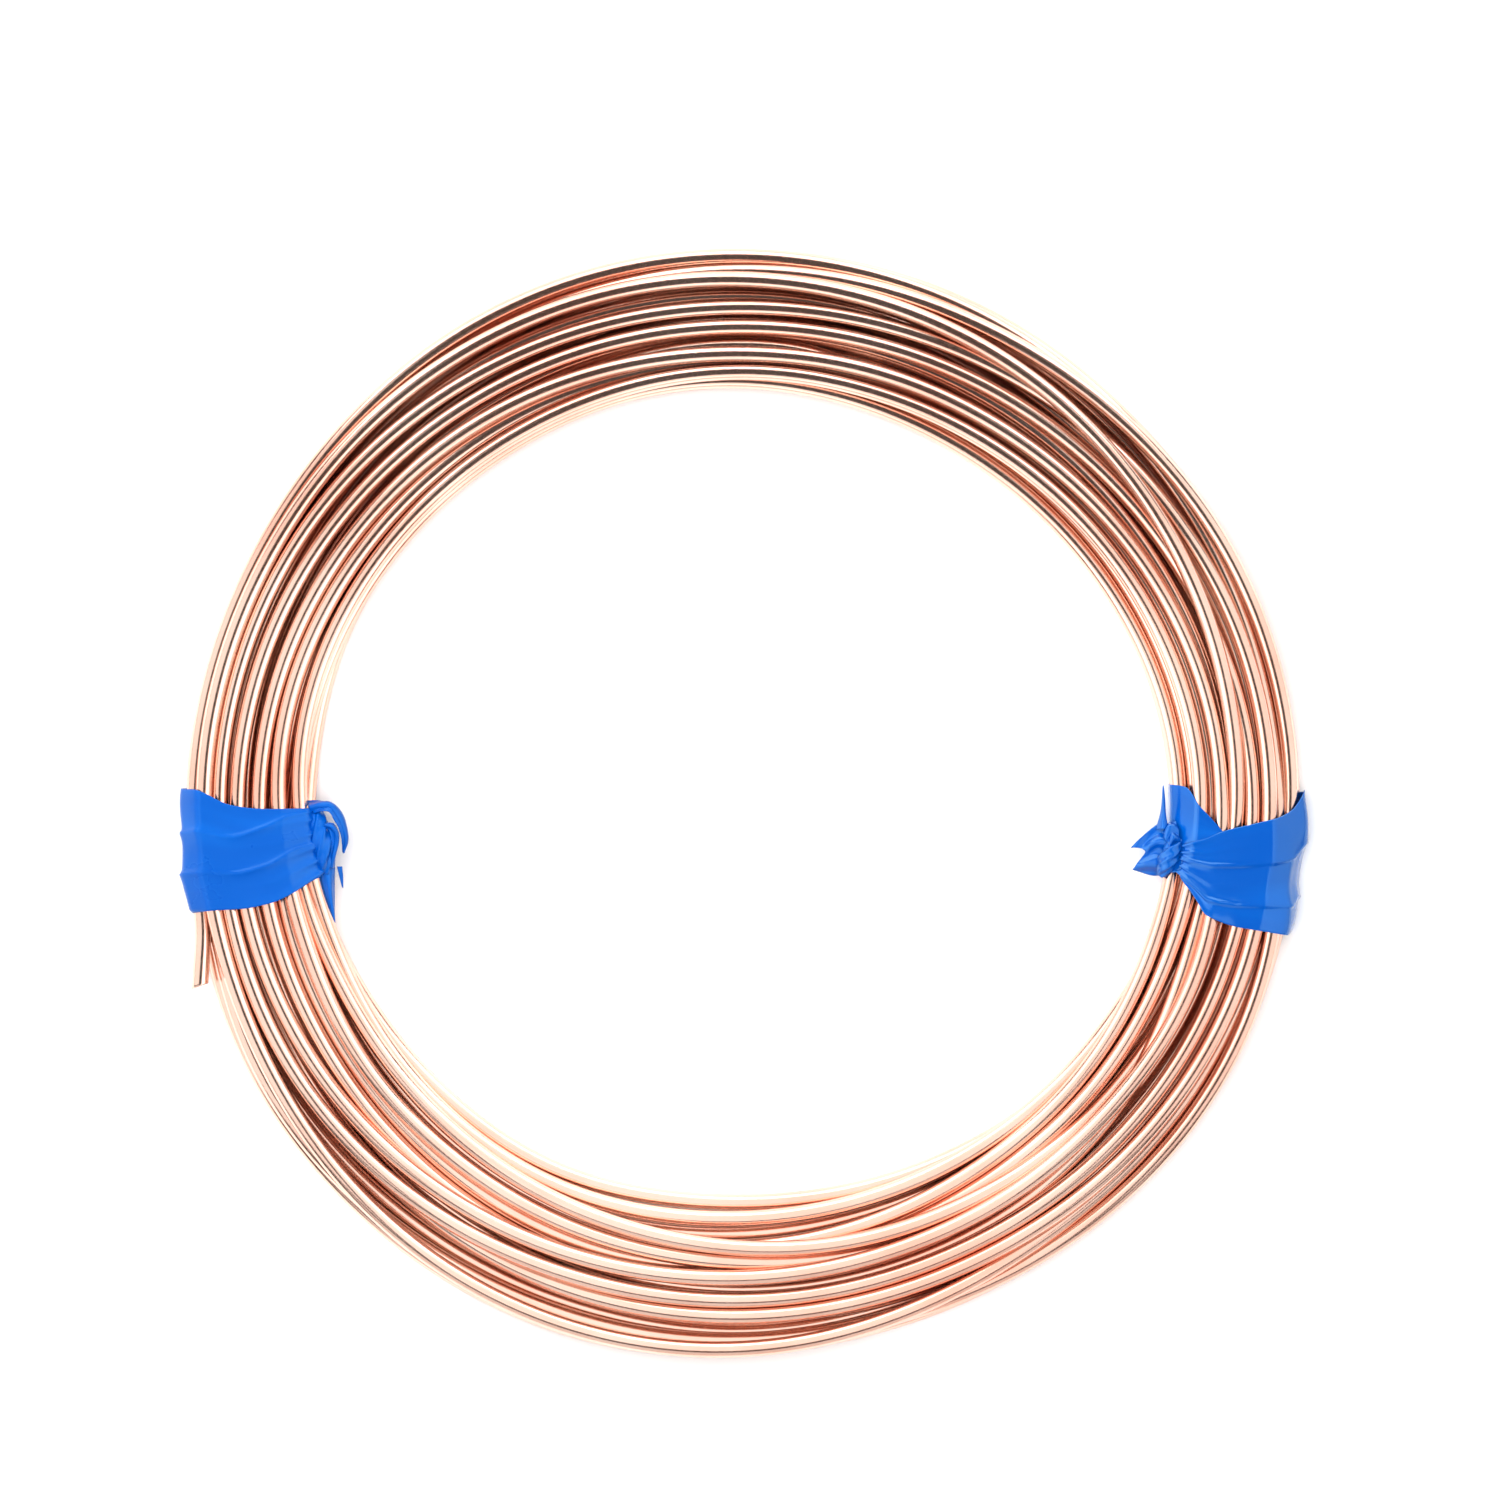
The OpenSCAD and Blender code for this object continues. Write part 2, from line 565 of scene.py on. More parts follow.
# The turns in winding order, from the cut outer end: knots of (clock angle, radius,
# level), where level 0 lies on the board and each level is one layer higher
TURNS: tuple[tuple[Knot, ...] | Lane, ...] = (
    (
        (191, 68.3, 1.2), (188, 67.7, 1.2), (185, 67.4, 1.2), (178, 67.7, 1.1), (165, 67.4, 1),
        (150, 66.9, 1), (135, 67.3, 1), (120, 67.8, 1.2), (90, 67.6, 1.2), (60, 67.5, 1.2),
        (45, 67.1, 0.8), (30, 66.7, 0.6), (5, 66.6, 0.5), (-15, 68.2, 1), (-30, 68.9, 1.2),
        (-45, 68.2, 1.2), (-60, 67, 1.2), (-70, 66.6, 1.1), (-80, 66.8, 0.5), (-95, 67.4, 0.4),
        (-110, 67.7, 0.4), (-120, 68, 0.5), (-135, 68.6, 0.8), (-147, 68.9, 1), (-160, 68.1, 1),
        (-168, 67.4, 0.8),
    ),
    Lane.OUTERMOST,
    (
        (178, 67.3, 0.6), (150, 66.2, 0.8), (120, 66.6, 1), (105, 66.6, 1.2), (90, 66.6, 1.3),
        (75, 66.4, 1.4), (60, 66.5, 1.6), (50, 66.9, 1.7), (42, 67.3, 1.6), (33, 67.9, 1.5),
        (20, 68.4, 1.3), (5, 68.5, 1.2), (-15, 67.2, 0.6), (-30, 66.7, 0.7), (-45, 66.1, 0.9),
        (-60, 65.8, 1.2), (-68, 66.2, 1.6), (-75, 66.9, 1.8), (-88, 67.9, 1.6),
        (-100, 68.5, 1.5), (-110, 68.8, 1.5), (-120, 68.7, 1.5), (-135, 68.2, 1.6),
        (-150, 67.3, 1.7), (-168, 66.2, 1.8),
    ),
    (
        (178, 66.7, 2), (165, 66.1, 2), (135, 66.1, 2), (120, 65.8, 2.1), (90, 65.2, 2.2),
        (75, 64.7, 2.4), (60, 64.1, 2.7), (45, 63.5, 2.8), (30, 62.7, 2.8), (15, 62.1, 2.6),
        (5, 61.8, 2.3), (-15, 60.5, 1.2), (-30, 59.7, 1.3), (-40, 58.7, 1.7), (-50, 57.8, 2),
        (-60, 57.2, 2), (-75, 56.4, 2.2), (-90, 55.3, 2.3), (-105, 54.5, 2.2),
        (-120, 54.4, 2), (-135, 54.1, 2), (-150, 54.1, 1.8), (-165, 54.6, 1.5),
    ),
    (
        (178, 54.8, 0.6), (150, 54, 0.7), (120, 53, 0.8), (105, 53, 1), (90, 52.7, 1),
        (75, 52.2, 1), (60, 52.3, 1), (45, 52.7, 1), (30, 53.4, 1), (20, 54.2, 1),
        (10, 54.8, 1), (0, 55, 1), (-15, 54.4, 1.2), (-30, 54.1, 1.2), (-45, 54.1, 1.2),
        (-60, 54.4, 1.2), (-70, 54.9, 1.1), (-78, 55.3, 1), (-90, 55.8, 0.9),
        (-105, 55.6, 0.8), (-120, 55.6, 0.9), (-135, 55.4, 0.9), (-150, 55.2, 0.7),
        (-165, 55.2, 0.7),
    ),
    (
        (178, 53.8, 0), (150, 54.2, 0), (120, 53.4, 0), (90, 52.9, 0), (60, 52.6, 0),
        (30, 53.6, 0), (5, 54.6, 0), (-15, 55.2, 0), (-30, 54.4, 0.2), (-45, 53, 0.3),
        (-60, 51.3, 0.3), (-70, 50.5, 0.2), (-80, 49.9, 0.1), (-90, 49.6, 0), (-98, 49.7, 0),
        (-105, 50.3, 0.1), (-115, 51.3, 0.3), (-125, 51.7, 0.4), (-135, 51.9, 0.4),
        (-145, 52.4, 0.4), (-155, 53.2, 0.4), (-168, 54.2, 0.3),
    ),
    (
        (178, 56, 0), (150, 55.9, 0), (120, 55, 0), (90, 54.6, 0), (60, 54.6, 0),
        (30, 55.8, 0), (5, 56, 0), (-15, 54.9, 0.3), (-30, 53.8, 0.4), (-45, 52.9, 0.8),
        (-60, 51.9, 1), (-75, 51.6, 1), (-90, 51.6, 1), (-100, 52.1, 1.1), (-110, 52.8, 1.1),
        (-120, 53.3, 1), (-135, 53.2, 0.8), (-150, 53.4, 0.5), (-168, 53.9, 0.5),
    ),
    (
        (178, 55.5, 1.4), (165, 55.1, 1.4), (150, 54.4, 1.4), (135, 53.9, 1.4),
        (120, 53.7, 1.5), (105, 53.8, 1.6), (90, 53.8, 1.8), (75, 53.8, 1.9), (60, 54, 2),
        (45, 54.8, 2), (30, 55.8, 2), (15, 56.7, 2), (0, 57.7, 2), (-15, 56.3, 1.8),
        (-30, 56.5, 1.6), (-45, 56.5, 1.6), (-60, 56.2, 1.4), (-75, 56.3, 1),
        (-90, 57.3, 0.9), (-100, 58.3, 0.9), (-110, 58.6, 1.1), (-120, 58.2, 1.3),
        (-145, 57.9, 1.6), (-168, 57.7, 1.8),
    ),
    (
        (178, 56.3, 1.8), (165, 56, 1.6), (155, 55.7, 1.4), (140, 55.3, 1), (120, 54.9, 0.9),
        (90, 55, 0.9), (60, 54.9, 0.9), (40, 55.3, 1), (25, 55.8, 1), (0, 55.7, 1),
        (-15, 56.6, 1), (-45, 57.6, 0.9), (-75, 58.2, 0.9), (-105, 57.4, 0.9),
        (-135, 57.4, 1), (-168, 57, 1),
    ),
    (
        (178, 59, 0), (150, 58, 0), (120, 57.9, 0), (90, 57.2, 0), (60, 57, 0), (30, 57.9, 0),
        (0, 59, 0), (-30, 58, 0), (-45, 55.6, 0), (-60, 53.6, 0), (-75, 53.3, 0), (-90, 53.7, 0),
        (-105, 54.6, 0), (-120, 55.2, 0), (-135, 56.3, 0), (-168, 58.2, 0),
    ),
    Lane.FOURTH,
    (
        (178, 58.6, 1), (150, 58.6, 1), (120, 58.6, 0.9), (90, 58.4, 0.8), (60, 58.9, 0.9),
        (30, 59.7, 1), (5, 61, 1), (-15, 61, 1), (-45, 60.3, 1), (-60, 59, 1.1),
        (-75, 58.1, 1.3), (-90, 57.1, 1.5), (-105, 56.8, 1.5), (-120, 56.7, 1.5),
        (-135, 57, 1.6), (-146, 57.4, 1.7), (-155, 56.9, 1.8), (-168, 56, 1.8),
    ),
    (
        (178, 58, 2), (150, 56.9, 2), (135, 56.3, 2), (120, 55.8, 1.9), (105, 55.4, 1.7),
        (90, 55, 1.5), (60, 55.6, 1.2), (30, 57, 1.2), (0, 58.8, 1.2), (-15, 59.2, 2),
        (-30, 59.6, 1.8), (-45, 60.4, 1.2), (-60, 60.7, 1), (-90, 60.6, 1), (-105, 60.5, 1),
        (-120, 60.3, 1.2), (-135, 60, 1.5), (-150, 59.9, 1.8), (-168, 59.8, 2),
    ),
    (
        (178, 59.9, 2), (150, 58.5, 2), (120, 56.8, 2), (90, 55.7, 2), (60, 56.4, 2),
        (30, 58.4, 2), (15, 59.5, 2), (0, 60.4, 2), (-15, 60.4, 2), (-30, 60, 2.1),
        (-45, 59.3, 2.2), (-60, 58.6, 2.2), (-75, 58.6, 2.2), (-90, 58.8, 2.2),
        (-105, 59.7, 2.2), (-120, 60.5, 2.2), (-135, 61.6, 2), (-150, 62.3, 2),
        (-168, 62.8, 2),
    ),
    (
        (178, 62.6, 2), (150, 61.5, 2), (120, 59.8, 2), (90, 59.1, 2), (75, 59.4, 2),
        (60, 60.1, 1.9), (45, 61, 1.7), (30, 62, 1.6), (15, 63.2, 1.7), (0, 63.9, 1.9),
        (-15, 63.7, 2), (-30, 63.3, 2), (-45, 62.7, 2), (-60, 62, 2), (-90, 61.8, 2),
        (-105, 62.2, 2), (-120, 63.1, 2.1), (-135, 64.3, 2.2), (-150, 65, 2),
        (-168, 65.3, 2),
    ),
    (
        (178, 65.2, 2), (150, 64.2, 2), (120, 62.4, 2), (90, 61.5, 2), (75, 61.9, 2),
        (60, 62.8, 1.8), (45, 63.9, 1.7), (30, 64.8, 1.7), (15, 65.7, 1.8), (0, 66.2, 1.9),
        (-15, 66.2, 2), (-30, 65.7, 2), (-45, 65, 1.9), (-60, 64.1, 1.8), (-75, 63.6, 1.8),
        (-90, 63.8, 1.8), (-105, 64, 1.8), (-120, 64.3, 1.6), (-135, 64.2, 1.1),
        (-150, 63.7, 1), (-168, 63.3, 1),
    ),
    (
        (178, 64.2, 1), (150, 64, 1), (120, 63.7, 1.1), (105, 63.2, 1), (90, 62.7, 0.8),
        (75, 62.9, 0.8), (45, 63.3, 0.9), (15, 64, 0.9), (0, 64.6, 0.9), (-15, 64.8, 1),
        (-60, 65, 1), (-90, 64.2, 1), (-135, 63.2, 0.9), (-168, 62, 1),
    ),
    Lane.FIFTH,
    Lane.SIXTH,
    Lane.SEVENTH,
)
# Turns, by their number in the list, that lie in the middle of the coil
DEEP_TURNS = (8, 16)


@dataclass(frozen=True)
class Settling:
    """How the turns settle: pulls and pushes are shares per pass, lengths millimetres."""

    passes: int = 900
    rounds: int = 2
    sink: float = 0.008
    level_pull: float = 0.03
    lane_pull: float = 0.03
    deep_lane_pull: float = 0.002
    deep_weight: float = 1.6
    top_give: float = 0.25
    side_push: float = 0.27
    deep_side_push: float = 0.9
    lift: float = 0.9
    ceiling_pull: float = 0.5
    last_smoothing: int = 20
    wall_margin: float = 0.55
    leeway: float = 0.1


@dataclass
class CoiledWire:
    """The one length of solid wire: twenty loosely crossing turns and a cut outer end."""

    diameter: float = 2.05
    slices: int = 240
    sides: int = 16
    tie_angle: float = 185.0
    start_angle: float = 191.0
    ceiling: float = 6.05
    tie_press: float = 0.7
    level_rise: float = 1.9
    film_under: float = 0.18
    wrapped: tuple[float, float] = (185.0, -6.3)
    wrap_core: float = 1.6
    wrap_spread: float = 8.0
    lane_sway: float = 0.25
    lane_shift: float = 77.0
    end_length: float = 9.8
    end_bend: float = 12.0
    end_curve: float = 5.0
    end_points: int = 25
    snip: float = 24.0
    settling: Settling = Settling()
    angles: np.ndarray = field(init=False)
    radii: np.ndarray = field(init=False)
    heights: np.ndarray = field(init=False)

    @property
    def half(self) -> float:
        """The wire's radius."""
        return self.diameter / 2

    def strung(self) -> tuple[np.ndarray, np.ndarray]:
        """Strings the turns' knots on the unrolled wire.

        Returns:
            The radius and the level at every slice of every turn, end to end.
        """
        turned, radius, level = [], [], []
        lane_angles = np.arange(*LANE_KNOTS)
        outer = self.wall(OUTER_WALL, lane_angles)
        inner = self.wall(INNER_WALL, lane_angles)
        for i, turn in enumerate(TURNS):
            if isinstance(turn, Lane):
                share = (turn.value + 0.5) / BOTTOM_TURNS
                phase = np.radians(2 * lane_angles + self.lane_shift * turn.value)
                sway = self.lane_sway * np.sin(phase)
                turned.extend(i * 360 + self.tie_angle - lane_angles)
                radius.extend(inner + share * (outer - inner) + sway)
                level.extend(np.zeros(len(lane_angles)))
            else:
                for angle, r, high in turn:
                    turned.append(i * 360 + self.tie_angle - angle)
                    radius.append(r)
                    level.append(high)
        along = np.arange(len(TURNS) * self.slices) / self.slices * 360.0
        along -= self.start_angle - self.tie_angle
        x = np.array(turned, float)
        return ease_through(x, np.array(radius, float), along), ease_through(
            x, np.array(level, float), along
        )

    @staticmethod
    def wall(knots: Sequence[tuple[float, float]], angles: np.ndarray) -> np.ndarray:
        """Reads a wall's radius at some clock angles."""
        rising = np.array(sorted(knots), float)
        return ease_through(rising[:, 0], rising[:, 1], angles)

    def clock(self) -> np.ndarray:
        """Lists the clock angles of one turn's slices."""
        return self.start_angle - np.arange(self.slices) / self.slices * 360.0

    def near_tie(self) -> np.ndarray:
        """Tells how far each slice of a turn lies within a tie.

        Returns:
            A share for each slice, from 0 well away from the ties to 1 inside one.
        """
        near = np.zeros(self.slices)
        for angle in self.wrapped:
            away = np.abs((self.clock() - angle + 180) % 360 - 180)
            near = np.maximum(near, np.clip(self.wrap_core - away / self.wrap_spread, 0, 1))
        return near

    def settle(self) -> None:
        """Lets the strung turns sink onto the board and onto each other.

        Every turn is pulled down, towards its own lane and to its own level, is kept
        smooth by its stiffness, and is pushed off any other turn that is closer than a
        diameter. The turns that are deep in the coil give way to the ones on top. All
        are held under the ceiling, and where they crowd they still run into each other.
        """
        how = self.settling
        turns = len(TURNS)
        target, level = self.strung()
        r = target.copy()
        rest = self.half + level * self.level_rise
        z = rest.copy()
        deep = np.array([isinstance(turn, Lane) or i in DEEP_TURNS for i, turn in enumerate(TURNS)])
        pull = np.repeat(np.where(deep, how.deep_lane_pull, how.lane_pull), self.slices)
        weight = np.repeat(np.where(deep, how.deep_weight, 1.0), self.slices)
        lightness = np.where(deep, 1.0, how.top_give)
        gives = lightness[:, None] / (lightness[:, None] + lightness[None])
        gives[np.arange(turns), np.arange(turns)] = 0
        sideways = np.where(deep, how.deep_side_push, how.side_push)[:, None]
        lanes = target.reshape(turns, -1)[~deep]
        clock = (self.clock() + 180) % 360 - 180
        margin = how.wall_margin * self.half
        outer = np.maximum(self.wall(OUTER_WALL, clock) - margin, lanes.max(0) + how.leeway)
        inner = np.minimum(self.wall(INNER_WALL, clock) + margin, lanes.min(0) - how.leeway)
        floor = np.tile(self.half + self.film_under * self.near_tie(), turns)
        top = np.tile(self.ceiling - self.tie_press * self.near_tie(), turns)
        for step in range(how.passes):
            z -= how.sink * (1 - step / how.passes) * weight
            z += how.level_pull * (rest - z)
            r += pull * (target - r)
            for _ in range(how.rounds):
                r = self.stiffened(r)
                z = self.stiffened(z)
            z = np.where(z > top, z - how.ceiling_pull * (z - top), z)
            for _ in range(how.rounds):
                across = r.reshape(turns, -1)
                high = z.reshape(turns, -1)
                apart_r = across[:, None] - across[None]
                apart_z = high[:, None] - high[None]
                distance = np.sqrt(apart_r**2 + apart_z**2) + 1e-9
                push = np.clip(self.diameter - distance, 0, None) / distance * gives[..., None]
                across = across + sideways * (push * apart_r).sum(1)
                high = high + how.lift * (push * apart_z).sum(1)
                r = np.clip(across, inner, outer).reshape(-1)
                z = np.maximum(high.reshape(-1), floor)
        for _ in range(how.last_smoothing):
            r = self.stiffened(r)
            z = np.clip(self.stiffened(z), floor, top + how.leeway)
        self.angles = self.start_angle - np.arange(turns * self.slices) / self.slices * 360.0
        self.radii, self.heights = r, z

    @staticmethod
    def stiffened(line: np.ndarray, share: float = 0.6) -> np.ndarray:
        """Draws each slice towards the middle of its neighbours.

        Args:
            line: A radius or a height for each slice.
            share: How much of the way it is drawn.

        Returns:
            The same for each slice, smoother.
        """
        result = line.copy()
        result[1:-1] = (1 - share) * line[1:-1] + share / 2 * (line[:-2] + line[2:])
        return result

    def section(self, angle: float) -> tuple[np.ndarray, np.ndarray]:
        """Cuts the coil across at a clock angle.

        Args:
            angle: The clock angle.

        Returns:
            The radius and the height of every turn there.
        """
        at = ((self.start_angle - angle) % 360) / 360 * self.slices
        low = int(at)
        share = at - low
        r = self.radii.reshape(len(TURNS), -1)
        z = self.heights.reshape(len(TURNS), -1)
        following = (low + 1) % self.slices
        if following == 0:
            return r[:, low], z[:, low]
        return (
            r[:, low] * (1 - share) + r[:, following] * share,
            z[:, low] * (1 - share) + z[:, following] * share,
        )

    def line(self) -> np.ndarray:
        """Draws the wire's middle line from the cut outer end to the inner end.

        Returns:
            Points in millimetres, shaped (n, 3).
        """
        turn = np.radians(self.angles)
        coil = np.stack(
            [self.radii * np.cos(turn), self.radii * np.sin(turn), self.heights], -1
        )
        ahead = coil[0] - coil[1]
        heading = math.atan2(ahead[1], ahead[0])
        reach = np.linspace(0, self.end_length, self.end_points)
        bend = np.radians(self.end_bend) * np.clip(reach / self.end_curve, 0, 1)
        stride = np.diff(reach, append=0)[:-1]
        east = np.cumsum(stride * np.cos(heading - bend[1:]))
        north = np.cumsum(stride * np.sin(heading - bend[1:]))
        start = coil[0] + np.stack([east, north, np.zeros(len(stride))], -1)
        return np.concatenate([start[::-1], coil])

    def build(self) -> bpy.types.Object:
        """Makes the wire as one closed tube, cut at a slant where it starts.

        Returns:
            The wire.
        """
        line = self.line()
        tangent = np.gradient(line, axis=0)
        tangent /= np.linalg.norm(tangent, axis=1, keepdims=True)
        up = np.array([0.0, 0.0, 1.0])
        over = up - (tangent @ up)[:, None] * tangent
        over /= np.linalg.norm(over, axis=1, keepdims=True)
        beside = np.cross(tangent, over)
        turn = np.linspace(0, 2 * math.pi, self.sides, endpoint=False)
        ring = (
            np.cos(turn)[None, :, None] * beside[:, None]
            + np.sin(turn)[None, :, None] * over[:, None]
        )
        points = line[:, None] + self.half * ring
        slant = math.tan(math.radians(self.snip)) * self.half * np.cos(turn)
        points[0] += tangent[0] * slant[:, None]
        rings = len(line)
        number = np.arange(rings * self.sides).reshape(rings, self.sides)
        beyond = np.roll(number, -1, axis=1)
        faces = np.stack([number[:-1], beyond[:-1], beyond[1:], number[1:]], -1)
        run = np.append(0, np.linalg.norm(np.diff(line, axis=0), axis=1).cumsum())
        run /= SURFACE_PITCH
        across = np.arange(self.sides + 1) / self.sides
        u, v = np.meshgrid(run, across, indexing="ij")
        place = np.stack([u, v], -1)
        corners = np.stack(
            [place[:-1, :-1], place[:-1, 1:], place[1:, 1:], place[1:, :-1]], 2
        )
        parts = MeshParts()
        parts.add(points.reshape(-1, 3), faces.reshape(-1, 4), corners.reshape(-1, 4, 2))
        self.close_ends(parts, points)
        return parts.make("copper_wire")

    def close_ends(self, parts: MeshParts, points: np.ndarray) -> None:
        """Closes both ends of the tube with a grid of quads.

        Args:
            parts: The mesh, with the tube in it.
            points: The tube's rings, shaped (rings, sides, 3).
        """
        # The rims are in the mesh already, so their faces are numbered back from its end
        total = points.shape[0] * self.sides
        for ring, flip in ((0, True), (points.shape[0] - 1, False)):
            rim = np.arange(self.sides) + ring * self.sides
            strips = []
            for i in range(self.sides // 2 - 1):
                low, high = i, self.sides - 1 - i
                quad = (rim[low], rim[low + 1], rim[high - 1], rim[high])
                strips.append(quad[::-1] if flip else quad)
            faces = np.array(strips) - total
            parts.add(np.zeros((0, 3)), faces, np.zeros((len(faces), 4, 2)))

    def dress(self, piece: bpy.types.Object, copper: bpy.types.Material) -> None:
        """Gives the wire its finish, attaches it to the root body and hides the parts it stands in
        for.

        Args:
            piece: The wire.
            copper: Its material.
        """
        piece.data.materials.append(copper)
        line = self.line() * MM
        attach(piece, "root")
        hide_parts("wire_coil", "wire_outer_end")


# --------------------------------------------------------------------------- the ties


@dataclass(frozen=True)
class Crease:
    """A soft fold line that runs along the film, from the knot to the outer wall."""

    line: tuple[tuple[float, float], ...]
    height: float
    width: float


@dataclass(frozen=True)
class Patch:
    """A loose piece of the film: a coarse net of points, its pleats and their depth."""

    net: tuple[tuple[Point, ...], ...]
    pleats: float = 0.0
    depth: float = 0.0
    rows: int = 40
    columns: int = 20
    wander: float = 0.35
    end_share: float = 0.35

    def shape(self) -> np.ndarray:
        """Makes the fine net, pleated along its length and less so at its ends.

        Returns:
            Points, shaped (rows, columns, 3).
        """
        net = even_net(self.net, self.rows, self.columns)
        along = np.linspace(0, 1, self.rows)[:, None]
        across = np.linspace(0, 1, self.columns)[None]
        wave = np.sin(2 * math.pi * (self.pleats * across + self.wander * np.sin(3 * along)))
        fade = np.minimum(1, 4 * along * (1 - along) + self.end_share)
        return net + net_normals(net) * (self.depth * wave * fade)[..., None]


@dataclass(frozen=True)
class Twist:
    """A twisted roll of gathered film: stations of (x, y, z, radius) along it.

    Its bulge is an uneven swelling, so that no two pleats are alike.
    """

    stations: tuple[tuple[float, float, float, float], ...]
    flat: float = 0.7
    pleats: int = 5
    depth: float = 0.3
    spin: float = 1.4
    bulge: float = 0.4
    wave_middle: float = 0.4
    least_radius: float = 0.05
    rows: int = 48
    columns: int = 56

    def shape(self) -> np.ndarray:
        """Makes the roll's net, with pleats that turn round it.

        Returns:
            Points, shaped (rows, columns, 3).
        """
        stations = np.array(self.stations, float)[:, None, :]
        fine = even_rows(stations, self.rows)[:, 0]
        line, radius = fine[:, :3], np.maximum(fine[:, 3], self.least_radius)
        tangent = np.gradient(line, axis=0)
        tangent /= np.linalg.norm(tangent, axis=1, keepdims=True)
        up = np.array([0.0, 0.0, 1.0])
        beside = np.cross(tangent, up)
        beside /= np.maximum(np.linalg.norm(beside, axis=1, keepdims=True), 1e-6)
        over = np.cross(beside, tangent)
        turn = np.linspace(0, 2 * math.pi, self.columns)[None]
        along = np.linspace(0, 1, self.rows)[:, None]
        wave = 1 - np.abs(np.sin(self.pleats / 2 * (turn + self.spin * along * math.pi)))
        wave += self.bulge * np.sin(3 * turn + 9 * along) * np.sin(7 * along)
        reach = radius[:, None] + self.depth * (wave - self.wave_middle)
        return (
            line[:, None]
            + (reach * np.cos(turn))[..., None] * beside[:, None]
            + (reach * self.flat * np.sin(turn))[..., None] * over[:, None]
        )


